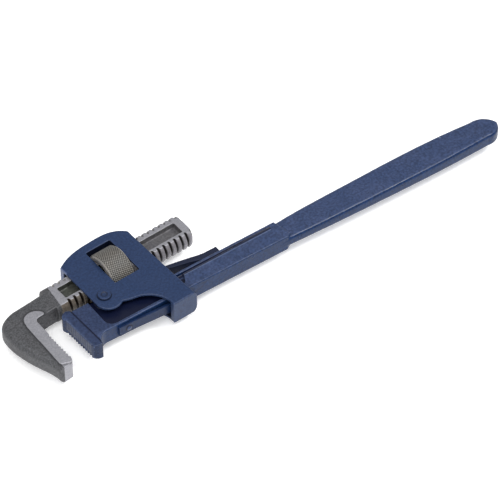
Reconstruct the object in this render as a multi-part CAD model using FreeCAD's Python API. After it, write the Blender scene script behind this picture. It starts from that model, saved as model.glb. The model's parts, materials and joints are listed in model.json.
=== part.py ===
import FreeCAD, Part
import math
import os

from FreeCAD import Placement, Rotation, Vector

# A 600 mm (24 inch) pipe wrench lying on its side, in millimetres. +X runs along the handle towards
# the end of the grip, +Y towards the screw shank of the hook jaw and +Z straight up, out of the side.
# Everything is drawn round the frame pin and is mirrored about the mid-plane z = 0. At the end it is
# moved so that the origin lies at the middle of the bottom of the bounding box.

OVER = 40.0               # longer than any cut needs to be to run right through

# --- handle ---
BAR_HALF = 9.4            # half thickness of the bar
BAR_TOP = -11.7
BAR_BOTTOM = -33.8
BAR_EDGE_R = 1.3
NECK_END = -18.0
STEP_DROP = 2.2           # how much lower the bar's bottom edge is at the step
STEP_X = 186.0            # where the thick bar ends and the grip begins
STEP_OVERLAP = 6.0        # how far the grip reaches into the bar
HEAD_TOP = 5.2
HEAD_RELIEF_HALF = 9.0    # half thickness where the head runs between the frame's sides
HEAD_RELIEF_END = 75.0
SEAM_TOP = Vector(-34.6, HEAD_TOP, 0)
SEAM_BOTTOM = Vector(-31.6, -45.2, 0)
POCKET_FLOOR = 5.8        # half thickness of the web left under the frame
POCKET_LOW = -30.6
POCKET_LEFT = -15.0
POCKET_RIGHT = 78.0
POCKET_CORNER = 8.0
BOSS_R = 10.0
GROOVE_TOP = -14.6
GROOVE_WIDTH = 3.6
GROOVE_DEPTH = 2.6
GROOVE_END_HALF = 0.9     # half width and depth of the groove where it runs out
GRIP_TOP_START = -11.4
GRIP_BOTTOM_START = -36.0
GRIP_HALF_STEP = 5.8      # half thickness of the grip beside the step
GRIP_HALF_END = 7.9
GRIP_EDGE_R = 3.6
GRIP_END_X = 447.6

# --- frame ---
FRAME_HALF = 13.7
FRAME_INNER = 10.8
TILT = 2.5                # the frame's angle to the handle at rest, degrees
FRAME_LEFT = -12.2
FRAME_RIGHT = 66.9
FRAME_EDGE_R = 1.2
LOBE_R = 13.5             # the frame's rounded lobe round the pin
COLLAR_LEFT = 44.3
COLLAR_RIGHT = 68.6
COLLAR_BOTTOM = -49.0
COLLAR_INNER = -43.0
COLLAR_LIP_START = 68.0
COLLAR_LIP_END = 71.6
COLLAR_LIP_TOP = -38.0
COLLAR_LIP_HALF = FRAME_HALF - 0.6
SHANK_SLOT_TOP = 47.9
WINDOW = (17.9, 7.0, 45.8, 54.2)      # x and y of its near corner, then of its far corner

# --- frame pin ---
PIN_R = 5.0
PIN_CLEARANCE = 0.06
PIN_HEAD_R = 6.4
PIN_HEAD_H = 1.9
PIN_HEAD_EDGE_R = 0.8
PIN_DIMPLE_R = 3.4
PIN_DIMPLE_DEPTH = 0.9
PIN_PEEN_R = 5.9
PIN_PEEN_END_R = 4.7
PIN_PEEN_H = 1.2

# --- screw ---
SHANK_Y = 30.7
THREAD_R = 16.6
PITCH = 6.5
THREAD_START = -38.0
FIRST_GROOVE = -34.5      # no groove starts before this
SHANK_ROOT = -42.0        # how far the shank reaches into the hook's forging
SHANK_END = 116.8
SHANK_FLAT = 10.4         # half thickness across the two flats
SHANK_POCKET = (-28.0, 22.6, 108.4, 36.8)     # x and y of its near corner, then of its far corner
SHANK_WEB = 4.4
SHANK_END_R = 4.5
GROOVE_SPAN = 124.0       # degrees of the helix cut on each rounded edge
THREAD_GROOVE = ((14.0, 0.75), (15.4, 1.05), (16.6, 1.6), (17.6, 2.7))   # radius, half width

# --- nut ---
NUT_R = 22.3
NUT_LEFT = 18.2
NUT_LENGTH = 25.0
NUT_CHAMFER = 2.0
THREAD_GAP = 0.4
NUT_RIDGE = ((14.4, 0.38), (15.4, 0.65), (16.6, 1.15), (17.6, 1.4))      # radius, half width

# --- hook jaw ---
HOOK_HALF = 10.4
STRIP_RISE = 0.9
TOOTH_PITCH = 3.74
HOOK_TOOTH_DEPTH = 2.3
HOOK_TEETH = 9
HOOK_TEETH_TOP = -5.2
HOOK_FACE = -66.8
HOOK_BACK_R = 6.5

# --- heel jaw ---
HEEL_HALF = 10.0
HEEL_TEETH = 11
HEEL_TOOTH_DEPTH = 1.9
HEEL_TOOTH_START = Vector(-44.3, -1.6, 0)
HEEL_TOOTH_END = Vector(-41.6, -40.4, 0)
HEEL_BEVEL_WIDTH = 6.5    # the jaw's sides slope down to its teeth over this width
HEEL_BEVEL_DROP = 1.3
DOVETAIL_NECK = 3.4
DOVETAIL_FOOT = 5.0
DOVETAIL_DEPTH = 6.0
DOVETAIL_LOW = -33.0      # the tongue ends above the neck's inner curve
HEEL_PIN_R = 2.0
HEEL_PIN_AT = Vector(-30.6, -20.0, 0)
HEEL_PIN_TOP = 4.0        # the pin's blind hole ends at this height above the mid-plane
HEEL_PIN_SUNK = 0.4
HEEL_PIN_CHAMFER = 0.3

# --- springs ---
SPRING_HALF = 5.6
LEAF = 2.6                # thickness of the lower leaf
LEAF_START = -7.6
LEAF_FLAT_END = 8.0
RIVET_R = 2.0
RIVET_HEAD_R = 3.0
RIVET_HEAD_H = 1.6
RIVET_DEPTH = 6.6         # how far a rivet goes into the handle
LOWER_RIVET_X = 2.8
UPPER_RIVET_X = 115.5
UPPER_ROOT_START = 104.0
UPPER_ROOT_TOP = -3.4
UPPER_ROOT_END = 124.5
UPPER_LEAF_END = 49.0


def vec(x, y, z=0.0):
    return Vector(x, y, z)


def line(a, b):
    return Part.LineSegment(a, b).toShape()


def arc(a, middle, b):
    return Part.Arc(a, middle, b).toShape()


def curve(points):
    spline = Part.BSplineCurve()
    spline.interpolate(points)
    return spline.toShape()


def polyline(points):
    return [line(a, b) for a, b in zip(points, points[1:])]


def slab(edges, low, high):
    """The closed outline drawn by edges in the XY plane, as a solid from z = low to z = high."""
    face = Part.Face(Part.Wire(edges))
    face.translate(vec(0, 0, low))
    return face.extrude(vec(0, 0, high - low))


def block(x0, y0, z0, x1, y1, z1):
    return Part.makeBox(x1 - x0, y1 - y0, z1 - z0, vec(x0, y0, z0))


def both_sides(shape):
    """The shape and its mirror image below the mid-plane."""
    return shape.fuse(shape.mirror(vec(0, 0, 0), vec(0, 0, 1)))


def rim_edges(shape, half):
    """The edges that lie in the top or bottom face of a slab that is 2 * half thick."""
    found = []
    for edge in shape.Edges:
        box = edge.BoundBox
        if abs(abs(box.ZMin) - half) < 1e-4 and box.ZLength < 1e-4:
            found.append(edge)
    return found


def saw(start, end, count, depth):
    """A straight row of count V teeth from start to end, cut depth deep on the right of that way."""
    along = (end - start).multiply(1.0 / count)
    inward = Vector(along.y, -along.x, 0).normalize().multiply(depth)
    points = [start]
    for tooth in range(count):
        base = start + along * tooth
        points.append(base + along * 0.5 + inward)
        points.append(base + along)
    return points


def screw_profile(steps):
    """A closed profile, symmetric about the screw's radius, through (radius, half width) steps."""
    lower = [vec(radius, 0, -half) for radius, half in steps]
    upper = [vec(radius, 0, half) for radius, half in reversed(steps)]
    return Part.makePolygon(lower + upper + lower[:1])


def screw_sweep(profile, x0, x1):
    """The profile swept along the groove of the screw, from x0 to x1 along the shank's axis."""
    helix = Part.makeHelix(PITCH, x1 - x0, THREAD_R)
    sweep = Part.BRepOffsetAPI.MakePipeShell(Part.Wire(helix))
    sweep.setFrenetMode(True)
    sweep.add(profile)
    sweep.build()
    sweep.makeSolid()
    swept = sweep.shape()
    turn = Placement(vec(0, 0, 0), Rotation(vec(0, 0, 1), 360.0 * (x0 - THREAD_START) / PITCH))
    swept.Placement = Placement(vec(x0, SHANK_Y, 0), Rotation(vec(0, 1, 0), 90)).multiply(turn)
    return swept


def rod(x0, x1, radius):
    return Part.makeCylinder(radius, x1 - x0, vec(x0, SHANK_Y, 0), vec(1, 0, 0))


def grip_blank():
    start = STEP_X - STEP_OVERLAP
    top = curve([vec(start, GRIP_TOP_START), vec(204, -9.8), vec(268, -8.9), vec(365, -9.4),
                 vec(424, -13.4)])
    end = [
        arc(vec(424, -13.4), vec(442.4, -19.8), vec(GRIP_END_X, -28.6)),
        arc(vec(GRIP_END_X, -28.6), vec(443.0, -36.8), vec(428, -41.0)),
    ]
    bottom = curve([vec(428, -41.0), vec(380, -41.8), vec(300, -40.6), vec(240, -38.8),
                    vec(start, GRIP_BOTTOM_START)])
    outline = [top] + end + [bottom, line(vec(start, GRIP_BOTTOM_START), vec(start, GRIP_TOP_START))]
    plan = slab(outline, -OVER, OVER)
    side = Part.Face(Part.makePolygon([
        vec(start - 4, -60, -GRIP_HALF_STEP),
        vec(GRIP_END_X + 5, -60, -GRIP_HALF_END),
        vec(GRIP_END_X + 5, -60, GRIP_HALF_END),
        vec(start - 4, -60, GRIP_HALF_STEP),
        vec(start - 4, -60, -GRIP_HALF_STEP),
    ]))
    blank = plan.common(side.extrude(vec(0, 60, 0)))
    rims = [edge for edge in blank.Edges
            if edge.BoundBox.XMin > start - 1 and edge.BoundBox.XLength > 1]
    return blank.makeFillet(GRIP_EDGE_R, rims)


def bar_blank():
    outline = [arc(SEAM_BOTTOM, vec(-27.8, -36.9), vec(NECK_END, BAR_BOTTOM))]
    outline += polyline([
        vec(NECK_END, BAR_BOTTOM),
        vec(STEP_X, BAR_BOTTOM - STEP_DROP),
        vec(STEP_X + 5, BAR_BOTTOM + 1),
        vec(STEP_X, BAR_TOP),
        vec(66, BAR_TOP),
    ])
    outline.append(curve([vec(66, BAR_TOP), vec(44, -8.5), vec(26, 0.5), vec(12, HEAD_TOP)]))
    outline += polyline([
        vec(12, HEAD_TOP),
        SEAM_TOP,
        SEAM_BOTTOM,
    ])
    blank = slab(outline, -BAR_HALF, BAR_HALF)
    return blank.makeFillet(BAR_EDGE_R, rim_edges(blank, BAR_HALF))


def side_pocket():
    """The hollow beside the web under the frame, round the boss of the pin, on the +Z side."""
    above = HEAD_TOP + 5
    corner = POCKET_CORNER
    outline = [
        line(vec(POCKET_LEFT, above), vec(POCKET_LEFT, POCKET_LOW + corner)),
        arc(vec(POCKET_LEFT, POCKET_LOW + corner),
            vec(POCKET_LEFT + corner * 0.3, POCKET_LOW + corner * 0.3),
            vec(POCKET_LEFT + corner, POCKET_LOW)),
        line(vec(POCKET_LEFT + corner, POCKET_LOW), vec(POCKET_RIGHT - 14, POCKET_LOW)),
        arc(vec(POCKET_RIGHT - 14, POCKET_LOW), vec(POCKET_RIGHT - 4, POCKET_LOW + 6),
            vec(POCKET_RIGHT, GROOVE_TOP)),
    ]
    outline += polyline([
        vec(POCKET_RIGHT, GROOVE_TOP),
        vec(44, GROOVE_TOP),
        vec(36, above),
        vec(POCKET_LEFT, above),
    ])
    hollow = slab(outline, POCKET_FLOOR, BAR_HALF + 2)
    return hollow.cut(Part.makeCylinder(BOSS_R, OVER, vec(0, 0, 0)))


def side_groove():
    """The narrow groove along the bar's side, V shaped and running out towards the grip."""
    floor = GROOVE_TOP - GROOVE_WIDTH / 2
    sections = []
    for x, half_width, depth in ((POCKET_RIGHT - 4, GROOVE_WIDTH / 2, GROOVE_DEPTH),
                                 (STEP_X - STEP_OVERLAP, GROOVE_END_HALF, GROOVE_END_HALF)):
        points = [
            vec(x, floor - half_width, BAR_HALF + 0.2),
            vec(x, floor - half_width * 0.3, BAR_HALF - depth),
            vec(x, floor + half_width * 0.6, BAR_HALF - depth),
            vec(x, floor + half_width, BAR_HALF + 0.2),
            vec(x, floor - half_width, BAR_HALF + 0.2),
        ]
        sections.append(Part.makePolygon(points))
    return Part.makeLoft(sections, True, True)


def dovetail():
    """The heel jaw's tongue, which fills a slot of the same shape along the seam of the handle's head."""
    along = (SEAM_BOTTOM - SEAM_TOP).normalize()
    into_head = Vector(-along.y, along.x, 0)
    inside_jaw = 1.0
    start = SEAM_TOP - along * 4 - into_head * inside_jaw
    deep = into_head * (DOVETAIL_DEPTH + inside_jaw)
    section = Part.makePolygon([
        start + vec(0, 0, -DOVETAIL_NECK),
        start + deep + vec(0, 0, -DOVETAIL_FOOT),
        start + deep + vec(0, 0, DOVETAIL_FOOT),
        start + vec(0, 0, DOVETAIL_NECK),
        start + vec(0, 0, -DOVETAIL_NECK),
    ])
    tongue = Part.Face(section).extrude(along * 2 * OVER)
    return tongue.common(block(-2 * OVER, DOVETAIL_LOW, -BAR_HALF, 0, HEAD_TOP, BAR_HALF))


def heel_pin_hole():
    return Part.makeCylinder(HEEL_PIN_R, OVER, HEEL_PIN_AT + vec(0, 0, HEEL_PIN_TOP), vec(0, 0, -1))


def make_handle():
    handle = bar_blank().fuse(grip_blank())
    handle = handle.cut(both_sides(side_pocket()))
    relief = block(-2 * OVER, -2 * OVER, HEAD_RELIEF_HALF, HEAD_RELIEF_END, OVER, BAR_HALF + 1)
    handle = handle.cut(both_sides(relief))
    for groove in (side_groove(), side_groove().mirror(vec(0, 0, 0), vec(0, 0, 1))):
        handle = handle.cut(groove)
    handle = handle.cut(Part.makeCylinder(PIN_R + PIN_CLEARANCE, 2 * OVER, vec(0, 0, -OVER)))
    handle = handle.cut(dovetail())
    handle = handle.cut(heel_pin_hole())
    handle = handle.cut(upper_rivet_shank()).cut(lower_rivet_shank())
    return handle.removeSplitter()


def heel_bevel():
    """What is cut from the jaw's upper side, so that it slopes down to the teeth."""
    along = HEEL_TOOTH_END - HEEL_TOOTH_START
    start = HEEL_TOOTH_START - along * 0.3
    reach = 4.0
    slope = HEEL_BEVEL_DROP / HEEL_BEVEL_WIDTH
    section = Part.makePolygon([
        start + vec(HEEL_BEVEL_WIDTH, 0, HEEL_HALF),
        start + vec(-reach, 0, HEEL_HALF - HEEL_BEVEL_DROP - reach * slope),
        start + vec(-reach, 0, HEEL_HALF + 1),
        start + vec(HEEL_BEVEL_WIDTH, 0, HEEL_HALF + 1),
        start + vec(HEEL_BEVEL_WIDTH, 0, HEEL_HALF),
    ])
    return Part.Face(section).extrude(along * 1.6)


def make_heel_jaw():
    outline = [arc(vec(-37.6, 7.1), vec(-43.4, 5.9), vec(-45.7, 1.6))]
    outline += polyline([vec(-45.7, 1.6)]
                        + saw(HEEL_TOOTH_START, HEEL_TOOTH_END, HEEL_TEETH, -HEEL_TOOTH_DEPTH)
                        + [vec(-40.6, -42.4)])
    outline.append(arc(vec(-40.6, -42.4), vec(-37.6, -44.6), vec(-34.6, -45.2)))
    outline += polyline([vec(-34.6, -45.2), SEAM_BOTTOM, SEAM_TOP, vec(-37.6, 7.1)])
    jaw = slab(outline, -HEEL_HALF, HEEL_HALF)
    jaw = jaw.cut(both_sides(heel_bevel())).fuse(dovetail())
    return jaw.cut(heel_pin_hole()).removeSplitter()


def make_heel_jaw_pin():
    """A plain pin driven in from below, across the tongue and the head."""
    low = -HEAD_RELIEF_HALF + HEEL_PIN_SUNK
    pin = Part.makeCylinder(HEEL_PIN_R, HEEL_PIN_TOP - low, HEEL_PIN_AT + vec(0, 0, low))
    return pin.makeChamfer(HEEL_PIN_CHAMFER, [edge for edge in pin.Edges if edge.BoundBox.ZLength < 1e-4])


def collar_lip():
    """The rounded lip by which the collar reaches past the frame's right edge, under the handle."""
    half = COLLAR_LIP_HALF
    reach = COLLAR_LIP_END - COLLAR_LIP_START
    shoulder = COLLAR_LIP_START + reach * 0.75
    edges = [
        arc(vec(COLLAR_LIP_START, -half), vec(shoulder, -half * 0.725), vec(COLLAR_LIP_END, -half * 0.3)),
        line(vec(COLLAR_LIP_END, -half * 0.3), vec(COLLAR_LIP_END, half * 0.3)),
        arc(vec(COLLAR_LIP_END, half * 0.3), vec(shoulder, half * 0.725), vec(COLLAR_LIP_START, half)),
    ]
    edges += polyline([
        vec(COLLAR_LIP_START, half),
        vec(COLLAR_LIP_START - 10, half),
        vec(COLLAR_LIP_START - 10, -half),
        vec(COLLAR_LIP_START, -half),
    ])
    lip = slab(edges, 0, COLLAR_LIP_TOP - COLLAR_BOTTOM)
    lip.rotate(vec(0, 0, 0), vec(1, 0, 0), -90)
    lip.translate(vec(0, COLLAR_BOTTOM, 0))
    return lip


def frame_outline():
    lobe = vec(1.3, -4.9)
    return [
        curve([vec(FRAME_LEFT, 53.8), vec(4.9, 61.5), vec(30.4, 64.4), vec(52.5, 62.6), vec(66.6, 53.0)]),
        line(vec(66.6, 53.0), vec(FRAME_RIGHT, 20)),
        line(vec(FRAME_RIGHT, 20), vec(COLLAR_RIGHT, COLLAR_BOTTOM + 5)),
        arc(vec(COLLAR_RIGHT, COLLAR_BOTTOM + 5), vec(COLLAR_RIGHT - 1.4, COLLAR_BOTTOM + 1.4),
            vec(COLLAR_RIGHT - 5, COLLAR_BOTTOM)),
        line(vec(COLLAR_RIGHT - 5, COLLAR_BOTTOM), vec(COLLAR_LEFT, COLLAR_BOTTOM)),
        line(vec(COLLAR_LEFT, COLLAR_BOTTOM), vec(COLLAR_LEFT, -42.0)),
        arc(vec(COLLAR_LEFT, -42.0), vec(35.6, -26.4), vec(19.6, -19.0)),
        arc(vec(19.6, -19.0), vec(14.0, -17.4), vec(9.8, -15.4)),
        arc(vec(9.8, -15.4), lobe - vec(0, LOBE_R), vec(-9.9, -12.6)),
        arc(vec(-9.9, -12.6), vec(-11.6, -9.4), vec(FRAME_LEFT, -5.5)),
        line(vec(FRAME_LEFT, -5.5), vec(FRAME_LEFT, 53.8)),
    ]


def make_frame():
    frame = slab(frame_outline(), -FRAME_HALF, FRAME_HALF)
    frame = frame.makeFillet(FRAME_EDGE_R, rim_edges(frame, FRAME_HALF))
    frame = frame.fuse(collar_lip())
    between = block(-2 * OVER, COLLAR_INNER, -FRAME_INNER, 3 * OVER, SHANK_SLOT_TOP, FRAME_INNER)
    frame = frame.cut(between)
    x0, y0, x1, y1 = WINDOW
    frame = frame.cut(block(x0, y0, -OVER, x1, y1, OVER))
    return frame.cut(Part.makeCylinder(PIN_R, 2 * OVER, vec(0, 0, -OVER)))


def make_frame_pin():
    """A rivet with a round head that is hollowed in the middle, and a flatter peened end below."""
    top = FRAME_HALF
    head = Part.makeCylinder(PIN_HEAD_R, PIN_HEAD_H, vec(0, 0, top))
    rim = [edge for edge in head.Edges if edge.BoundBox.ZMin > top + PIN_HEAD_H - 0.01]
    head = head.makeFillet(PIN_HEAD_EDGE_R, rim)
    ball_r = (PIN_DIMPLE_R ** 2 + PIN_DIMPLE_DEPTH ** 2) / (2 * PIN_DIMPLE_DEPTH)
    head = head.cut(Part.makeSphere(ball_r, vec(0, 0, top + PIN_HEAD_H - PIN_DIMPLE_DEPTH + ball_r)))
    shank = Part.makeCylinder(PIN_R, 2 * top, vec(0, 0, -top))
    peen = Part.makeCone(PIN_PEEN_END_R, PIN_PEEN_R, PIN_PEEN_H, vec(0, 0, -top - PIN_PEEN_H))
    return shank.fuse(head).fuse(peen)


def make_nut():
    """A knurled ring with a screw thread in its bore that runs between the shank's threads."""
    right = NUT_LEFT + NUT_LENGTH
    bore_r = THREAD_R + THREAD_GAP
    ring = rod(NUT_LEFT, right, NUT_R)
    ring = ring.makeChamfer(NUT_CHAMFER, [edge for edge in ring.Edges if edge.BoundBox.XLength < 1e-4])
    ring = ring.cut(rod(NUT_LEFT - 1, right + 1, bore_r))
    ridge = screw_sweep(screw_profile(NUT_RIDGE), NUT_LEFT - PITCH, right + PITCH)
    ridge = ridge.common(rod(NUT_LEFT, right, NUT_R - 2))
    return ring.fuse(ridge)


def thread_grooves():
    """One helical groove per pitch on each rounded edge of the shank, each a short piece of one helix."""
    profile = screw_profile(THREAD_GROOVE)
    reach = PITCH * GROOVE_SPAN / 360
    grooves = []
    for edge_angle in (90, 270):
        first = THREAD_START + PITCH * edge_angle / 360 - reach / 2
        one = screw_sweep(profile, first, first + reach)
        for turn in range(-1, int((SHANK_END - THREAD_START) / PITCH) + 1):
            groove = one.copy()
            groove.translate(vec(turn * PITCH, 0, 0))
            if groove.BoundBox.XMin > FIRST_GROOVE:
                grooves.append(groove)
    return grooves


def make_shank():
    """The screw: a rod with a coarse thread, flattened on two sides, with a rounded far end."""
    screw = rod(SHANK_ROOT, SHANK_END, THREAD_R)
    screw = screw.makeFillet(SHANK_END_R, [edge for edge in screw.Edges
                                           if edge.BoundBox.XMin > SHANK_END - 0.01])
    screw = screw.common(block(SHANK_ROOT, 0, -SHANK_FLAT, SHANK_END, 2 * SHANK_Y, SHANK_FLAT))
    return screw.cut(thread_grooves())


def hook_back():
    """The hook's rounded outer edge, from the shank round to the tip."""
    return [
        line(vec(THREAD_START, 42.9), vec(-73.0, 41.0)),
        curve([vec(-73.0, 41.0), vec(-86.8, 37.9), vec(-95.0, 31.6), vec(-98.5, 17.8),
               vec(-96.7, 0.2), vec(-91.3, -19.4), vec(-87.0, -31.0), vec(-84.0, -45.0)]),
    ]


def hook_outline():
    teeth_end = vec(HOOK_FACE, HOOK_TEETH_TOP - HOOK_TEETH * TOOTH_PITCH)
    edges = hook_back()
    edges += polyline([vec(-84.0, -45.0), vec(-81.0, -46.6), vec(-70.6, -45.6), vec(-68.0, -43.6)]
                      + saw(teeth_end, vec(HOOK_FACE, HOOK_TEETH_TOP), HOOK_TEETH, -HOOK_TOOTH_DEPTH)
                      + [vec(HOOK_FACE, 12.6)])
    edges.append(arc(vec(HOOK_FACE, 12.6), vec(-65.5, 16.0), vec(-62.2, 17.4)))
    edges += polyline([vec(-62.2, 17.4), vec(THREAD_START, 18.6), vec(THREAD_START, 42.9)])
    return edges


def strip_region():
    """Where the ground strip beside the teeth stands proud of the hook's sides."""
    edges = [
        curve([vec(-55.6, 19.6), vec(-60.2, 25.6), vec(-67.5, 27.4), vec(-74.2, 24.4),
               vec(-77.2, 16.0), vec(-78.2, -5.0), vec(-79.2, -30.0), vec(-79.6, -38.0)]),
        arc(vec(-79.6, -38.0), vec(-79.4, -40.9), vec(-76.6, -42.2)),
    ]
    edges += polyline([vec(-76.6, -42.2), vec(-50, -54.0), vec(-50, 10.0), vec(-57.4, 16.4),
                       vec(-55.6, 19.6)])
    return slab(edges, -OVER, OVER)


def on_hook_back(edge):
    """True for the two edges of the hook's outer side, which lie beyond its face and its throat."""
    box = edge.BoundBox
    return box.YLength > 60 or box.YMin > 40


def make_hook_jaw():
    outline = hook_outline()
    body = slab(outline, -HOOK_HALF, HOOK_HALF)
    body = body.makeFillet(HOOK_BACK_R, [edge for edge in rim_edges(body, HOOK_HALF) if on_hook_back(edge)])
    tall = slab(outline, -HOOK_HALF - STRIP_RISE, HOOK_HALF + STRIP_RISE)
    strip = tall.common(strip_region())
    jaw = body.fuse(strip).fuse(make_shank())
    x0, y0, x1, y1 = SHANK_POCKET
    pocket = block(x0, y0, SHANK_WEB, x1, y1, OVER)
    return jaw.cut(both_sides(pocket)).removeSplitter()


def bar_bottom_at(x):
    """The height of the bar's lower edge, which drops a little towards the step."""
    return BAR_BOTTOM - STEP_DROP * (x - NECK_END) / (STEP_X - NECK_END)


def lower_rivet_seat():
    """Where the lower rivet's head rests, just clear of the leaf under the whole of its width."""
    return vec(LOWER_RIVET_X, bar_bottom_at(LOWER_RIVET_X + RIVET_HEAD_R) - LEAF)


def lower_rivet_shank():
    seat = lower_rivet_seat()
    return Part.makeCylinder(RIVET_R, LEAF + RIVET_DEPTH, seat, vec(0, 1, 0))


def upper_rivet_shank():
    depth = UPPER_ROOT_TOP - BAR_TOP + RIVET_DEPTH
    return Part.makeCylinder(RIVET_R, depth, vec(UPPER_RIVET_X, UPPER_ROOT_TOP, 0), vec(0, -1, 0))


def make_lower_leaf_spring():
    """A leaf that lies flat on the bar at the rivet and bends a little away from it inside the collar."""
    flat = [vec(x, bar_bottom_at(x)) for x in (LEAF_START, LEAF_FLAT_END)]
    drops = ((LEAF_FLAT_END, 0.0), (24.0, 0.9), (44.0, 2.0), (60.0, 2.1))
    bent = [vec(x, bar_bottom_at(x) - drop) for x, drop in drops]
    thick = vec(0, LEAF)
    edges = [
        line(flat[0], flat[1]),
        curve(bent),
        line(bent[-1], bent[-1] - thick),
        curve([point - thick for point in reversed(bent)]),
        line(flat[1] - thick, flat[0] - thick),
        line(flat[0] - thick, flat[0]),
    ]
    return slab(edges, -SPRING_HALF, SPRING_HALF).cut(lower_rivet_shank())


def make_lower_spring_rivet():
    return lower_rivet_shank().fuse(dome(lower_rivet_seat(), vec(0, -1, 0)))


def dome(seat, outward):
    """A low round rivet head standing on seat."""
    rise = RIVET_HEAD_H
    sphere_r = (RIVET_HEAD_R ** 2 + rise ** 2) / (2 * rise)
    ball = Part.makeSphere(sphere_r, seat + outward * (rise - sphere_r))
    return ball.common(Part.makeCylinder(RIVET_HEAD_R + 1, rise + 1, seat, outward))


def make_upper_leaf_spring():
    """A thick root that tapers into a thin leaf, which rises towards the shank inside the frame."""
    inner = [vec(UPPER_LEAF_END, 6.4), vec(72, -0.4), vec(88, -4.4), vec(UPPER_ROOT_START, -9.2)]
    outer = [vec(UPPER_LEAF_END, 8.6), vec(72, 3.9), vec(88, 0.9), vec(UPPER_ROOT_START, -2.6)]
    edges = [curve(outer)]
    edges += polyline([
        outer[-1],
        vec(110, UPPER_ROOT_TOP),
        vec(UPPER_ROOT_END, UPPER_ROOT_TOP),
        vec(UPPER_ROOT_END, BAR_TOP),
        vec(UPPER_ROOT_START, BAR_TOP),
        inner[-1],
    ])
    edges += [curve(inner[::-1]), line(inner[0], outer[0])]
    return slab(edges, -SPRING_HALF, SPRING_HALF).cut(upper_rivet_shank())


def make_upper_spring_rivet():
    seat = vec(UPPER_RIVET_X, UPPER_ROOT_TOP, 0)
    return upper_rivet_shank().fuse(dome(seat, vec(0, 1, 0)))


HANDLE_NODES = {
    "handle": make_handle,
    "heel_jaw": make_heel_jaw,
    "heel_jaw_pin": make_heel_jaw_pin,
    "lower_leaf_spring": make_lower_leaf_spring,
    "lower_spring_rivet": make_lower_spring_rivet,
    "upper_leaf_spring": make_upper_leaf_spring,
    "upper_spring_rivet": make_upper_spring_rivet,
}
FRAME_NODES = {
    "frame": make_frame,
    "frame_pin": make_frame_pin,
    "adjusting_nut": make_nut,
    "hook_jaw": make_hook_jaw,
}


def main():
    os.makedirs("parts", exist_ok=True)
    shapes = {name: make() for name, make in HANDLE_NODES.items()}
    for name, make in FRAME_NODES.items():
        shape = make()
        shape.rotate(vec(0, 0, 0), vec(0, 0, 1), TILT)
        shapes[name] = shape
    box = Part.makeCompound(list(shapes.values())).optimalBoundingBox(True, False)
    shift = vec(-box.Center.x, -box.Center.y, -box.ZMin)
    print("pin axis at", shift.x, shift.y, "mid-plane at", shift.z)
    print("size", box.XLength, box.YLength, box.ZLength)
    for name, shape in shapes.items():
        shape.translate(shift)
        print(name, shape.ShapeType, len(shape.Solids), shape.isValid(), round(shape.Volume))
        shape.exportStep("parts/" + name + ".step")


main()
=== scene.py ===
import json
import math

import bmesh
import bpy
from bpy.props import FloatProperty, FloatVectorProperty, PointerProperty
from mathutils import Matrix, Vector
from mathutils.kdtree import KDTree


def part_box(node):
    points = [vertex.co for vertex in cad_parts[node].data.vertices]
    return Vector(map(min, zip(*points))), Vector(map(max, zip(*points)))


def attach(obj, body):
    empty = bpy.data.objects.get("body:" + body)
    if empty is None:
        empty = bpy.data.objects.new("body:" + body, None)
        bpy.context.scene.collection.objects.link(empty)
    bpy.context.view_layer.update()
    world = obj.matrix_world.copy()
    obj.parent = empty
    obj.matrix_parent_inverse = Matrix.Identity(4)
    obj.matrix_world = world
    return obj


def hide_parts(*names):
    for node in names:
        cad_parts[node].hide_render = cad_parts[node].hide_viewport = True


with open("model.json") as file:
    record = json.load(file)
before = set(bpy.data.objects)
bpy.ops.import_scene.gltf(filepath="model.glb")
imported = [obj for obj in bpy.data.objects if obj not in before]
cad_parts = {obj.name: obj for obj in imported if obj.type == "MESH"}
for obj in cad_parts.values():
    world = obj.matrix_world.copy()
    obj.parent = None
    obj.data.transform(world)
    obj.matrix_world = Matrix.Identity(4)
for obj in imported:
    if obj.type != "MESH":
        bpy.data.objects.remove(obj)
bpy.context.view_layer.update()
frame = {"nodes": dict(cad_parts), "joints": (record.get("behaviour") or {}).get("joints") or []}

bl_info = {
    "name": "Pipe wrench",
    "version": (1, 0, 0),
    "blender": (4, 5, 0),
    "location": "3D View > Sidebar > Wrench",
    "description": "Builds the finished surfaces of a pipe wrench around its packed model",
    "category": "Object",
}

MM = 0.001
JOINTS = {joint["name"]: joint for joint in frame["joints"]}
PIN = Vector(JOINTS["frame_pivot"]["pos_m"])               # where the frame pin crosses the mid-plane
ALONG = Vector(JOINTS["nut_spin"]["axis"]).normalized()    # along the screw shank, away from the hook
ACROSS = Vector((-ALONG.y, ALONG.x, 0))
SHANK = Vector(JOINTS["nut_spin"]["pos_m"])                # a point on the shank's axis


# ---------------------------------------------------------------- helpers


def linear(hex_colour):
    """An sRGB hex colour as a linear RGBA tuple."""
    channels = [int(hex_colour[i:i + 2], 16) / 255 for i in (1, 3, 5)]
    return tuple(c / 12.92 if c <= 0.04045 else ((c + 0.055) / 1.055) ** 2.4 for c in channels) + (1.0,)


def add_node(tree, kind, inputs=None, **fields):
    """Adds a node, sets its fields, and gives its inputs values or links to other nodes' outputs."""
    node = tree.nodes.new(kind)
    for field, value in fields.items():
        setattr(node, field, value)
    for key, value in (inputs or {}).items():
        if isinstance(value, bpy.types.NodeSocket):
            tree.links.new(value, node.inputs[key])
        else:
            node.inputs[key].default_value = value
    return node


def link_object(name, mesh):
    piece = bpy.data.objects.new(name, mesh)
    bpy.context.scene.collection.objects.link(piece)
    return piece


def apply_modifiers(piece):
    """Puts the result of the piece's modifiers into its mesh."""
    graph = bpy.context.evaluated_depsgraph_get()
    made = bpy.data.meshes.new_from_object(piece.evaluated_get(graph))
    piece.modifiers.clear()
    old = piece.data
    piece.data = made
    bpy.data.meshes.remove(old)


def handle_place(point):
    """Millimetres from the frame pin, along the handle, across it and up."""
    return (point - PIN) / MM


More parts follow.
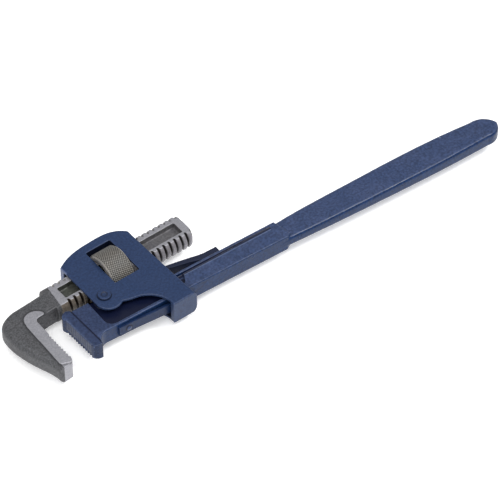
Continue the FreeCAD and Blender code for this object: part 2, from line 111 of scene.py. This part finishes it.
def frame_place(point):
    """Millimetres from the frame pin, along the screw shank, across it and up."""
    offset = (point - PIN) / MM
    return Vector((offset.dot(ALONG), offset.dot(ACROSS), offset.z))


def worked_skin(node, name, grid, relief, swell, passes=4):
    """A copy of a CAD node's surface, drawn again on an even grid so that its edges are broken like those
    of worked metal, and pressed in by up to relief of shallow unevenness as wide as swell."""
    piece = link_object(name, frame["nodes"][node].data.copy())
    piece.data.materials.clear()
    remesh = piece.modifiers.new("even grid", "REMESH")
    remesh.mode = "VOXEL"
    remesh.voxel_size = grid
    if relief:
        cloud = bpy.data.textures.new(name + " unevenness", "CLOUDS")
        cloud.noise_scale = swell
        cloud.noise_depth = 1
        press = piece.modifiers.new("unevenness", "DISPLACE")
        press.texture = cloud
        press.texture_coords = "LOCAL"
        press.mid_level = 1.0
        press.strength = relief
    smooth = piece.modifiers.new("broken edges", "SMOOTH")
    smooth.factor = 0.5
    smooth.iterations = passes
    apply_modifiers(piece)
    for polygon in piece.data.polygons:
        polygon.use_smooth = True
    return piece


def ramp(value, start, end):
    """0 at start and before it, 1 at end and beyond it, and even in between."""
    return min(max((value - start) / (end - start), 0.0), 1.0)


def mark(piece, name, amount_at):
    """Stores amount_at(vertex position), from 0 to 1, for the finish to read: one amount darkens, mostly as
    painted shade in hollows, seams, slots and thread roots and partly for oil and dirt; the other lightens,
    as painted highlights and a painted pale reflection."""
    layer = piece.data.attributes.new(name, "FLOAT", "POINT")
    layer.data.foreach_set("value", [amount_at(vertex.co) for vertex in piece.data.vertices])


def dress(piece, body, node, materials, finish_of=None):
    """Gives the piece its materials, by face where finish_of tells them apart, and replaces the node."""
    for material in materials:
        piece.data.materials.append(material)
    if finish_of:
        for polygon in piece.data.polygons:
            polygon.material_index = finish_of(polygon.center, polygon.normal)
    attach(piece, body)
    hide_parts(node)


# ---------------------------------------------------------------- materials


PATCH_WIDTH = 16 * MM     # the broad patches in which a coat or a scale differs


def surface(name, colour, edge, recess, rough, grain, spread, tint=None, metallic=0.0, pit=0.1, ior=1.5):
    """The layers that all the finishes share: a colour that wanders in broad patches and in a fine grain,
    lighter on an edge, partly for thin paint and partly as a painted highlight, and darker in a recess as
    painted shade with some dirt, over a pitted surface.

    colour, edge, recess and tint, the colour of the broad patches, are linear. rough is the least and the
    most roughness. grain is the width of the fine speckle in mm, and should be about 1.5 or more: what is
    finer can't be seen with the whole wrench in view, so it is drawn that coarse. spread is how far the
    grain lightens and darkens the colour, and pit the depth of the pits in mm."""
    material = bpy.data.materials.new(name)
    material.use_nodes = True
    tree = material.node_tree
    tree.nodes.clear()
    place = add_node(tree, "ShaderNodeTexCoord").outputs["Object"]
    speckle = add_node(tree, "ShaderNodeTexNoise", {
        "Vector": place, "Scale": 1 / (grain * MM), "Detail": 4.0,
    })
    patches = add_node(tree, "ShaderNodeTexNoise", {
        "Vector": place, "Scale": 1 / PATCH_WIDTH, "Detail": 3.0,
    })
    light = add_node(tree, "ShaderNodeMapRange", {
        "Value": speckle.outputs["Fac"], "From Min": 0.32, "From Max": 0.68,
        "To Min": 1 - spread, "To Max": 1 + spread,
    })
    patched = add_node(tree, "ShaderNodeValToRGB", {"Fac": patches.outputs["Fac"]})
    base, patch = patched.color_ramp.elements
    base.position, patch.position = 0.38, 0.66
    base.color = colour
    patch.color = colour if tint is None else tint
    grained = add_node(tree, "ShaderNodeVectorMath", {
        0: patched.outputs["Color"], "Scale": light.outputs["Result"],
    }, operation="SCALE")
    # Pointiness is 0.5 where the surface is flat, more on an edge and less in a corner.
    shape = add_node(tree, "ShaderNodeNewGeometry").outputs["Pointiness"]
    # Edges are made paler, partly for thin paint and partly as a painted highlight; corners are made darker
    # as painted shade, with some dirt.
    edge_wear_and_highlight = add_node(tree, "ShaderNodeMapRange", {"Value": shape, "From Min": 0.52, "From Max": 0.6})
    sunk = add_node(tree, "ShaderNodeMapRange", {"Value": shape, "From Min": 0.485, "From Max": 0.43})
    # Stored per vertex: one amount lightens as painted highlights; the other darkens, mostly as painted shade
    # and partly for oil and dirt.
    painted_highlight_stored = add_node(tree, "ShaderNodeAttribute", attribute_name="wear_and_highlight")
    dirt_and_shade_stored = add_node(tree, "ShaderNodeAttribute", attribute_name="dirt_and_shade")
    wear_and_highlight = add_node(tree, "ShaderNodeMath", {
        0: edge_wear_and_highlight.outputs["Result"], 1: painted_highlight_stored.outputs["Fac"],
    }, operation="MAXIMUM")
    dirt_and_shade = add_node(tree, "ShaderNodeMath", {
        0: sunk.outputs["Result"], 1: dirt_and_shade_stored.outputs["Fac"],
    }, operation="MAXIMUM")
    edged = add_node(tree, "ShaderNodeMix", {
        "Factor": wear_and_highlight.outputs["Value"], 6: grained.outputs["Vector"], 7: edge,
    }, data_type="RGBA")
    deep = add_node(tree, "ShaderNodeMix", {
        "Factor": dirt_and_shade.outputs["Value"], 6: edged.outputs[2], 7: recess,
    }, data_type="RGBA")
    gloss = add_node(tree, "ShaderNodeMapRange", {
        "Value": patches.outputs["Fac"], "From Min": 0.3, "From Max": 0.7,
        "To Min": rough[0], "To Max": rough[1],
    })
    pits = add_node(tree, "ShaderNodeBump", {
        "Height": speckle.outputs["Fac"], "Strength": 0.7, "Distance": pit * MM,
    })
    shader = add_node(tree, "ShaderNodeBsdfPrincipled", {
        "Base Color": deep.outputs[2], "Roughness": gloss.outputs["Result"], "Normal": pits.outputs["Normal"],
        "Metallic": metallic, "IOR": ior,
    })
    add_node(tree, "ShaderNodeOutputMaterial", {"Surface": shader.outputs["BSDF"]})
    return material


def enamel_on_casting():
    """Dark blue oil enamel, sprayed on the cast frame: satin and even; paler on the edges, partly where it is
    thin and partly as a painted highlight.
    """
    return surface(
        "dark blue enamel sprayed on cast steel", colours().frame_enamel,
        edge=linear("#535F80"), recess=linear("#090F20"), rough=(0.32, 0.46),
        grain=2.0, spread=0.26, pit=0.09, ior=1.36)


def enamel_on_forging():
    """Blue oil enamel, dipped over the forged handle: glossier and wavier, greyer where it ran thin."""
    return surface(
        "blue enamel dipped over forged steel", colours().handle_enamel, tint=colours().thin_enamel,
        edge=linear("#6B7894"), recess=linear("#0A1027"), rough=(0.26, 0.42),
        grain=2.2, spread=0.34, pit=0.2, ior=1.36)


def shaded_enamel():
    """The same enamel made darker and a deeper blue: painted shade for the handle's lower faces and the lower
    leaf spring.
    """
    return surface(
        "blue enamel darkened as painted shade", linear("#0E2548"), tint=linear("#12294D"),
        edge=linear("#4A5C86"), recess=linear("#0A1027"), rough=(0.26, 0.42),
        grain=2.2, spread=0.34, pit=0.2, ior=1.3)


def faces_down(centre, normal):
    """1 for the faces on the handle's lower side, which take the darker enamel as painted shade, and 0 for
    the others.
    """
    return int(normal.y < -0.6)


def blasted_forging():
    """Drop forged steel, shot blasted and left dark: a speckled grey that hardly shines."""
    return surface(
        "shot blasted forged steel", colours().forging, tint=linear("#4A4A4D"),
        edge=linear("#7C7C80"), recess=linear("#202023"), rough=(0.5, 0.66),
        grain=1.5, spread=0.45, metallic=0.3, pit=0.3)


def ground_steel():
    """Steel ground bright on its flats: pale, fine grained and soft in its shine."""
    return surface(
        "ground steel", colours().ground,
        edge=linear("#A9A9AE"), recess=linear("#3E3E42"), rough=(0.38, 0.5),
        grain=1.5, spread=0.14, metallic=0.4, pit=0.06)


def milled_thread():
    """Milled steel thread with old oil in its roots: light crests, and grooves nearly black, partly from the
    oil and partly as painted shade.
    """
    return surface(
        "milled steel thread", linear("#96949A"), tint=linear("#89868A"),
        edge=linear("#ADADB2"), recess=linear("#14110F"), rough=(0.36, 0.5),
        grain=1.6, spread=0.16, metallic=0.4, pit=0.06)


def oily_thread():
    """The thread beside the frame, where brown oil has gathered."""
    return surface(
        "milled steel thread with brown oil", linear("#7C766F"), tint=linear("#54483B"),
        edge=linear("#9B9792"), recess=linear("#170F0A"), rough=(0.25, 0.42),
        grain=1.8, spread=0.25, metallic=0.35, pit=0.06)


def forged_hollow():
    """The forged floor of the shank's pockets: grey and mottled."""
    return surface(
        "forged steel in the shank's pocket", linear("#58575B"), tint=linear("#5E5D5C"),
        edge=linear("#727176"), recess=linear("#232224"), rough=(0.4, 0.6),
        grain=2.4, spread=0.3, metallic=0.3, pit=0.25)


def oily_hollow():
    """The same floor by the hook, darker and a little green where oil has spread from the thread."""
    return surface(
        "forged steel with green oil", linear("#3F413E"), tint=linear("#474A41"),
        edge=linear("#62635F"), recess=linear("#1A1A18"), rough=(0.3, 0.5),
        grain=2.4, spread=0.35, metallic=0.3, pit=0.25)


def knurled_steel():
    """Case hardened steel with a rolled diamond knurl: pale crests, partly polished by fingers and partly a
    painted highlight, and dark valleys of painted shade.
    """
    return surface(
        "knurled case hardened steel", colours().knurl, tint=linear("#85807A"),
        edge=linear("#A5A39D"), recess=linear("#201F1C"), rough=(0.4, 0.55),
        grain=1.5, spread=0.22, metallic=0.35, pit=0.04)


def enamelled_spring():
    """Spring steel that was dipped with the handle: nearly black blue, greyer along its edges."""
    return surface(
        "dark enamel dipped over spring steel", linear("#141B30"),
        edge=linear("#38425A"), recess=linear("#06070D"), rough=(0.3, 0.45),
        grain=1.8, spread=0.25, pit=0.05, ior=1.4)


def drawn_pin():
    """Cold drawn steel left bare at the end of the heel pin."""
    return surface(
        "cold drawn steel", linear("#6E6C69"),
        edge=linear("#8C8A86"), recess=linear("#3A3937"), rough=(0.35, 0.45),
        grain=1.5, spread=0.1, metallic=0.6, pit=0.02)


def lit_acrylic():
    """White acrylic sheet, matt on top and lit from below: the wrench hardly shades it."""
    white = linear("#F7F7F7")
    material = surface(
        "matt white acrylic lit from below", white, edge=white, recess=white, rough=(0.85, 0.95),
        grain=2.0, spread=0.01, pit=0.0)
    shader = material.node_tree.nodes["Principled BSDF"]
    shader.inputs["Emission Color"].default_value = (1, 1, 1, 1)
    shader.inputs["Emission Strength"].default_value = 0.3
    return material


# ---------------------------------------------------------------- settings


class WrenchSizes(bpy.types.PropertyGroup):
    grid: FloatProperty(
        name="Grid", description="Spacing of the points on the large forgings",
        default=0.55 * MM, min=0.3 * MM, precision=5, unit="LENGTH")
    relief: FloatProperty(
        name="Relief", description="Depth of the forging's unevenness",
        default=0.22 * MM, min=0.0, precision=5, unit="LENGTH")
    knurl_pitch: FloatProperty(
        name="Knurl pitch", description="Spacing of the nut's knurl, coarser than a real one, to show",
        default=2.6 * MM, min=0.8 * MM, precision=5, unit="LENGTH")
    knurl_depth: FloatProperty(
        name="Knurl depth", description="Depth of the nut's knurl",
        default=0.5 * MM, min=0.0, precision=5, unit="LENGTH")


class WrenchColours(bpy.types.PropertyGroup):
    frame_enamel: FloatVectorProperty(
        name="Frame enamel", description="Colour of the enamel sprayed on the frame",
        default=linear("#213150"), size=4, min=0.0, max=1.0, subtype="COLOR")
    handle_enamel: FloatVectorProperty(
        name="Handle enamel", description="Colour of the enamel that the handle was dipped in",
        default=linear("#2E3B59"), size=4, min=0.0, max=1.0, subtype="COLOR")
    thin_enamel: FloatVectorProperty(
        name="Thin enamel", description="Colour of the handle's enamel where it ran thin",
        default=linear("#333F5D"), size=4, min=0.0, max=1.0, subtype="COLOR")
    forging: FloatVectorProperty(
        name="Forging", description="Colour of the hook's blasted forging",
        default=linear("#48494C"), size=4, min=0.0, max=1.0, subtype="COLOR")
    ground: FloatVectorProperty(
        name="Ground steel", description="Colour of the ground flats",
        default=linear("#8C8C92"), size=4, min=0.0, max=1.0, subtype="COLOR")
    knurl: FloatVectorProperty(
        name="Nut", description="Colour of the knurled nut",
        default=linear("#7C7B79"), size=4, min=0.0, max=1.0, subtype="COLOR")


def sizes():
    return bpy.context.scene.wrench_sizes


def colours():
    return bpy.context.scene.wrench_colours


# ---------------------------------------------------------------- stage


FLOOR_REACH = 6.0
VIEW_AZIMUTH = -35.7      # degrees round from the -Y side
VIEW_ELEVATION = 47.2     # degrees above the floor
VIEW_DISTANCE = 2.704
VIEW_AIM = PIN + Vector((0.1512, -0.0221, 0))
SOFTBOXES = (             # name, place, side length and power
    ("front left softbox", (-1.2, -1.2, 1.5), 1.2, 6),
    ("top softbox", (-0.9, -0.7, 2.4), 2.4, 56),
    ("right softbox", (0.95, -0.9, 1.9), 0.5, 24),
)


class WRENCH_OT_stage(bpy.types.Operator):
    """Makes the pale floor, the soft studio lights and the camera"""

    bl_idname = "wrench.stage"
    bl_label = "Stage"

    def execute(self, context):
        self.floor()
        self.lights(context)
        self.camera(context)
        context.scene.view_settings.view_transform = "Standard"
        return {"FINISHED"}

    def floor(self):
        mesh = bpy.data.meshes.new("floor")
        form = bmesh.new()
        bmesh.ops.create_grid(form, x_segments=2, y_segments=2, size=FLOOR_REACH)
        form.to_mesh(mesh)
        form.free()
        mesh.materials.append(lit_acrylic())
        link_object("floor", mesh)

    def lights(self, context):
        world = bpy.data.worlds.new("studio")
        world.use_nodes = True
        background = world.node_tree.nodes["Background"]
        background.inputs["Color"].default_value = (1, 1, 1, 1)
        background.inputs["Strength"].default_value = 0.45
        context.scene.world = world
        for name, place, size, power in SOFTBOXES:
            light = bpy.data.lights.new(name, "AREA")
            light.size = size
            light.energy = power
            lamp = bpy.data.objects.new(name, light)
            lamp.location = place
            lamp.rotation_mode = "QUATERNION"
            lamp.rotation_quaternion = (-Vector(place)).to_track_quat("-Z", "Y")
            context.scene.collection.objects.link(lamp)

    def camera(self, context):
        azimuth, elevation = math.radians(VIEW_AZIMUTH), math.radians(VIEW_ELEVATION)
        level = math.cos(elevation)
        back = Vector((math.sin(azimuth) * level, -math.cos(azimuth) * level, math.sin(elevation)))
        data = bpy.data.cameras.new("camera")
        data.lens = 204.6
        data.sensor_width = 36.0
        data.clip_end = 50
        camera = bpy.data.objects.new("camera", data)
        camera.location = VIEW_AIM + back * VIEW_DISTANCE
        camera.rotation_mode = "QUATERNION"
        camera.rotation_quaternion = (-back).to_track_quat("-Z", "Y")
        context.scene.collection.objects.link(camera)
        context.scene.camera = camera


# ---------------------------------------------------------------- handle and heel jaw


# Millimetres from the frame pin, as handle_place gives them.
SEAM_TOP = Vector((-34.6, 5.2))
SEAM_BOTTOM = Vector((-31.6, -45.2))
HEAD_RIGHT = -20.0        # the seam's dark line stays to the left of this
WEB_RIGHT = 60.0          # the deep hollows beside the web end before this
WEB_LOW = -31.5
RELIEF_RIGHT = 76.0       # the handle is thinner up to here, between the frame's sides
RELIEF_LOW = -32.6
GROOVE_RIGHT = 179.0
GROOVE_LOW = -19.5        # just under the groove's lower lip
GROOVE_MIDDLE = -16.4
GROOVE_LIP = -18.8        # the line where the enamel catches the light
FIRST_TOOTH = Vector((-44.3, -1.6))
LAST_TOOTH = Vector((-41.6, -40.4))
TOOTH_REACH = 2.4         # a little more than a tooth is deep


def seam_gap(x, y):
    """Millimetres from the seam between the handle's head and the heel jaw."""
    slope = (SEAM_BOTTOM.x - SEAM_TOP.x) / (SEAM_BOTTOM.y - SEAM_TOP.y)
    return abs(x - SEAM_TOP.x - slope * (y - SEAM_TOP.y))


class WRENCH_OT_handle(bpy.types.Operator):
    """Makes the forged handle's dipped enamel, with painted shade in the hollow beside its web, in the bar's
    groove and on its lower faces
    """

    bl_idname = "wrench.handle"
    bl_label = "Handle"

    def execute(self, context):
        piece = worked_skin("handle", "handle_forging", sizes().grid, sizes().relief, 9 * MM)
        mark(piece, "dirt_and_shade", self.dirt_and_shade)
        mark(piece, "wear_and_highlight", self.wear_and_highlight)
        dress(piece, "handle", "handle", (enamel_on_forging(), shaded_enamel()), faces_down)
        return {"FINISHED"}

    # Painted shade in the web's hollow under the frame, in the bar's groove and where the handle is thinner
    # between the frame's sides; along the seam a dark joint with painted shade; darker towards the head.
    def dirt_and_shade(self, point):
        x, y, z = handle_place(point)
        seam = ramp(seam_gap(x, y), 1.8, 0.7) if x < HEAD_RIGHT else 0.0
        hollow = 0.0
        if x < WEB_RIGHT and y > WEB_LOW:
            hollow = max(ramp(abs(z), 8.6, 7.6), 0.3 * ramp(x, 10.0, -10.0))
        elif WEB_RIGHT <= x < GROOVE_RIGHT and y > GROOVE_LOW:
            hollow = 0.9 * ramp(abs(y - GROOVE_MIDDLE), 2.1, 1.5)
        elif x < RELIEF_RIGHT and y > RELIEF_LOW:
            hollow = ramp(abs(z), 9.0, 8.3)
        return max(seam, hollow)

    # A painted highlight along the groove's lower lip.
    def wear_and_highlight(self, point):
        x, y, z = handle_place(point)
        if RELIEF_RIGHT < x < GROOVE_RIGHT - 1 and abs(z) > 9:
            return 0.5 * math.exp(-((y - GROOVE_LIP) / 0.5) ** 2)
        return 0.0


class WRENCH_OT_heel_jaw(bpy.types.Operator):
    """Makes the heel jaw, enamelled with the handle so thickly that its teeth are nearly filled on top"""

    bl_idname = "wrench.heel_jaw"
    bl_label = "Heel jaw"

    def execute(self, context):
        piece = worked_skin("heel_jaw", "heel_jaw_forging", 0.4 * MM, sizes().relief * 0.5, 6 * MM, passes=5)
        self.clog_teeth(piece)
        mark(piece, "dirt_and_shade", self.dirt_and_shade)
        dress(piece, "handle", "heel_jaw", (enamel_on_forging(), shaded_enamel()), faces_down)
        return {"FINISHED"}

    def clog_teeth(self, piece):
        """Fills the valleys between the teeth part of the way, more towards the top, as thick enamel does."""
        row = LAST_TOOTH - FIRST_TOOTH
        outward = Vector((row.y, -row.x)).normalized()
        for vertex in piece.data.vertices:
            x, y, z = handle_place(vertex.co)
            depth = (FIRST_TOOTH - Vector((x, y))).dot(outward)
            if depth < TOOTH_REACH and LAST_TOOTH.y < y < FIRST_TOOTH.y:
                fill = 0.9 * ramp(z, -7.5, -1.0) * max(depth, 0.0) * MM
                vertex.co += Vector((outward.x, outward.y, 0)) * fill

    # Darker behind the teeth, and along the seam a dark joint with painted shade.
    def dirt_and_shade(self, point):
        x, y, z = handle_place(point)
        behind_teeth = 0.35 * ramp(x, -43.0, -41.0)
        return max(behind_teeth, ramp(seam_gap(x, y), 1.5, 0.6))


# ---------------------------------------------------------------- frame


# Millimetres from the frame pin, as frame_place gives them.
SLOT_LOW = -43.2          # the slot that the handle and the shank run in
SLOT_TOP = 48.1
SLOT_HALF = 11.2
WINDOW_LEFT = 17.4
WINDOW_RIGHT = 46.3
WINDOW_LOW = 6.5
WINDOW_TOP = 54.7
PALE_END_LEFT = -10.9         # the frame's left end is painted pale from here, as a painted reflection
PALE_END_LOW = 44.0


class WRENCH_OT_frame(bpy.types.Operator):
    """Makes the cast frame's sprayed enamel, with painted shade inside where the shank and the nut run and
    round the foot of the pin's head, and a painted reflection on its left end
    """

    bl_idname = "wrench.frame"
    bl_label = "Frame"

    def execute(self, context):
        piece = worked_skin("frame", "frame_casting", sizes().grid, sizes().relief * 0.5, 12 * MM, passes=6)
        mark(piece, "dirt_and_shade", self.dirt_and_shade)
        mark(piece, "wear_and_highlight", self.wear_and_highlight)
        dress(piece, "frame", "frame", (enamel_on_casting(),))
        return {"FINISHED"}

    # Painted shade inside the slot and the window, and a dark ring of painted shade round the foot of the
    # pin's head.
    def dirt_and_shade(self, point):
        x, y, z = frame_place(point)
        if SLOT_LOW < y < SLOT_TOP and abs(z) < SLOT_HALF:
            return 1.0
        if WINDOW_LEFT < x < WINDOW_RIGHT and WINDOW_LOW < y < WINDOW_TOP:
            return ramp(abs(z), 13.3, 12.7)
        return 0.75 * ramp(math.hypot(x, y), 7.5, 6.9)

    # A painted reflection: the left end of the frame's top is made pale.
    def wear_and_highlight(self, point):
        x, y, z = frame_place(point)
        return ramp(x, PALE_END_LEFT, PALE_END_LEFT - 0.7) if y > PALE_END_LOW else 0.0


# ---------------------------------------------------------------- hook jaw


# Millimetres from the frame pin, as frame_place gives them.
SHANK_Y = frame_place(SHANK).y
STRIP_RIGHT = -38.3       # the raised ground strip lies to the left of this
TEETH_LEFT = -70.5        # the teeth lie between this and the strip's end, and below TEETH_TOP
TEETH_TOP = -2.0
TIP_LEFT = -79.0          # the hook's ground tip
TIP_TOP = -38.0
POCKET_LEFT = -28.3       # the pocket in each of the shank's flats
POCKET_RIGHT = 108.7
POCKET_LOW = 22.3
POCKET_TOP = 37.1
OIL_RIGHT = 20.0          # brown oil covers the thread up to here
GREEN_OIL_RIGHT = 40.0    # and green oil the pocket's floor up to here
FORGING, GROUND, THREAD, OILY_THREAD, HOLLOW, OILY_HOLLOW = range(6)     # the hook's finishes, in order


def neck_edge(y):
    """Where the blasted hook ends and the screw begins: a slightly slanting line across the neck."""
    return -36.2 + 0.115 * (y - 27.8)


class WRENCH_OT_hook_jaw(bpy.types.Operator):
    """Makes the hook jaw: a blasted forging, its ground strip and flats, and the screw cut on its shank"""

    bl_idname = "wrench.hook_jaw"
    bl_label = "Hook jaw"

    def execute(self, context):
        piece = worked_skin("hook_jaw", "hook_jaw_forging", 0.5 * MM, sizes().relief * 0.5, 5 * MM)
        places = [frame_place(vertex.co) for vertex in piece.data.vertices]
        strip = [place for place in places if place.x < STRIP_RIGHT and abs(place.z) > 10.9]
        self.strip = KDTree(len(strip))
        for index, place in enumerate(strip):
            self.strip.insert(place, index)
        self.strip.balance()
        mark(piece, "dirt_and_shade", self.dirt_and_shade)
        finishes = (blasted_forging(), ground_steel(), milled_thread(), oily_thread(), forged_hollow(),
                    oily_hollow())
        dress(piece, "hook_jaw", "hook_jaw", finishes, self.finish)
        return {"FINISHED"}

    def dirt_and_shade(self, point):
        """Painted shade at the foot of the raised strip, and in the thread's roots, which old oil darkens
        too.
        """
        place = frame_place(point)
        height = abs(place.z)
        if place.x < STRIP_RIGHT:
            beside_strip = 8 <= height <= 10.6
            return 0.75 * ramp(self.strip.find(place)[2], 3.2, 0.9) if beside_strip else 0.0
        if POCKET_LOW < place.y < POCKET_TOP:
            return 0.0
        root = math.hypot(place.y - SHANK_Y, place.z)
        return ramp(root, 16.0, 14.8) * ramp(height, 10.3, 9.9)

    def finish(self, point, normal):
        """Which of the hook's finishes a face has."""
        x, y, z = frame_place(point)
        level = abs(normal.z)
        if x < neck_edge(y):
            strip = abs(z) > 10.7 and x < STRIP_RIGHT
            toothed = x > TEETH_LEFT and y < TEETH_TOP and level < 0.8
            tip = x > TIP_LEFT and y < TIP_TOP
            return GROUND if strip or toothed or tip else FORGING
        if abs(z) > 9.9 and level > 0.6:
            return GROUND
        if POCKET_LEFT < x < POCKET_RIGHT and POCKET_LOW < y < POCKET_TOP:
            return HOLLOW if x > GREEN_OIL_RIGHT else OILY_HOLLOW
        return OILY_THREAD if x < OIL_RIGHT else THREAD


# ---------------------------------------------------------------- nut and small parts


RIVET_X = 2.8             # the lower spring's rivet, in mm along the handle from the frame pin


class WRENCH_OT_adjusting_nut(bpy.types.Operator):
    """Makes the adjusting nut and rolls a diamond knurl into its rim"""

    bl_idname = "wrench.adjusting_nut"
    bl_label = "Adjusting nut"

    def execute(self, context):
        low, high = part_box("adjusting_nut")
        self.rim = (high.z - low.z) / 2
        self.pitch = sizes().knurl_pitch
        self.count = round(2 * math.pi * self.rim / self.pitch)
        piece = worked_skin("adjusting_nut", "adjusting_nut_knurled", 0.36 * MM, 0.0, MM, passes=2)
        # Painted shade in the knurl's valleys, as deep as they are.
        mark(piece, "dirt_and_shade", self.valley)
        depth = sizes().knurl_depth
        for vertex in piece.data.vertices:
            offset = vertex.co - SHANK
            radial = (offset - ALONG * offset.dot(ALONG)).normalized()
            vertex.co -= radial * depth * self.valley(vertex.co)
        dress(piece, "adjusting_nut", "adjusting_nut", (knurled_steel(),))
        return {"FINISHED"}

    def valley(self, point):
        """How deep the point lies between the crossed rows of ridges that run round the rim both ways."""
        offset = point - SHANK
        along = offset.dot(ALONG)
        radial = offset - ALONG * along
        if radial.length < self.rim - 0.7 * MM:
            return 0.0
        turns = self.count * math.atan2(radial.z, radial.dot(ACROSS)) / (2 * math.pi)
        rows = along / self.pitch
        return 1 - abs(math.sin(math.pi * (turns + rows)) * math.sin(math.pi * (turns - rows)))


def rivet_gap(point):
    """Millimetres from the axis of the lower spring's rivet, which stands across the bar's edge."""
    x, y, z = handle_place(point)
    return math.hypot(x - RIVET_X, z)


class WRENCH_OT_small_parts(bpy.types.Operator):
    """Makes the frame pin, the springs, the rivets and the heel pin"""

    bl_idname = "wrench.small_parts"
    bl_label = "Pins, springs and rivets"

    def execute(self, context):
        for node, body, finish, dirt_and_shade in (
            ("frame_pin", "frame", enamel_on_casting(), self.pin_shade),
            # The lower leaf spring takes the darker enamel as painted shade, with more round its rivet.
            ("lower_leaf_spring", "handle", shaded_enamel(), self.leaf_shade),
            ("lower_spring_rivet", "handle", enamel_on_forging(), self.rivet_shade),
            ("upper_leaf_spring", "handle", enamelled_spring(), None),
            ("upper_spring_rivet", "handle", enamelled_spring(), None),
            ("heel_jaw_pin", "handle", drawn_pin(), None),
        ):
            piece = worked_skin(node, node + "_worked", 0.3 * MM, 0.0, MM, passes=2)
            if dirt_and_shade:
                mark(piece, "dirt_and_shade", dirt_and_shade)
            dress(piece, body, node, (finish,))
        return {"FINISHED"}

    # Painted shade round the edge of the pin's dimple and at the foot of its head.
    @staticmethod
    def pin_shade(point):
        x, y, z = frame_place(point)
        radius = math.hypot(x, y)
        dimple_edge = 0.75 * math.exp(-((radius - 2.7) / 0.7) ** 2)
        return max(dimple_edge, 0.7 * ramp(radius, 6.1, 6.4))

    # Painted shade at the foot of the rivet's head.
    @staticmethod
    def rivet_shade(point):
        return ramp(rivet_gap(point), 2.2, 2.9)

    # The whole leaf a little darker, and darkest round the rivet: painted shade.
    @staticmethod
    def leaf_shade(point):
        return max(0.4, ramp(rivet_gap(point), 4.6, 3.6))


# ---------------------------------------------------------------- panel and run


class WRENCH_PT_panel(bpy.types.Panel):
    """Sizes, colours and the steps that build the wrench"""

    bl_idname = "WRENCH_PT_panel"
    bl_label = "Pipe wrench"
    bl_space_type = "VIEW_3D"
    bl_region_type = "UI"
    bl_category = "Wrench"

    def draw(self, context):
        layout = self.layout
        for group in (context.scene.wrench_sizes, context.scene.wrench_colours):
            for name in group.__annotations__:
                layout.prop(group, name)
        for operator in OPERATORS:
            layout.operator(operator.bl_idname)


OPERATORS = (
    WRENCH_OT_stage,
    WRENCH_OT_handle,
    WRENCH_OT_heel_jaw,
    WRENCH_OT_frame,
    WRENCH_OT_hook_jaw,
    WRENCH_OT_adjusting_nut,
    WRENCH_OT_small_parts,
)
CLASSES = (WrenchSizes, WrenchColours) + OPERATORS + (WRENCH_PT_panel,)


def register():
    for cls in CLASSES:
        bpy.utils.register_class(cls)
    bpy.types.Scene.wrench_sizes = PointerProperty(type=WrenchSizes)
    bpy.types.Scene.wrench_colours = PointerProperty(type=WrenchColours)


def unregister():
    del bpy.types.Scene.wrench_colours
    del bpy.types.Scene.wrench_sizes
    for cls in reversed(CLASSES):
        bpy.utils.unregister_class(cls)


def main():
    register()
    bpy.ops.wrench.stage()
    bpy.ops.wrench.handle()
    bpy.ops.wrench.heel_jaw()
    bpy.ops.wrench.frame()
    bpy.ops.wrench.hook_jaw()
    bpy.ops.wrench.adjusting_nut()
    bpy.ops.wrench.small_parts()


if __name__ == "__main__":
    main()
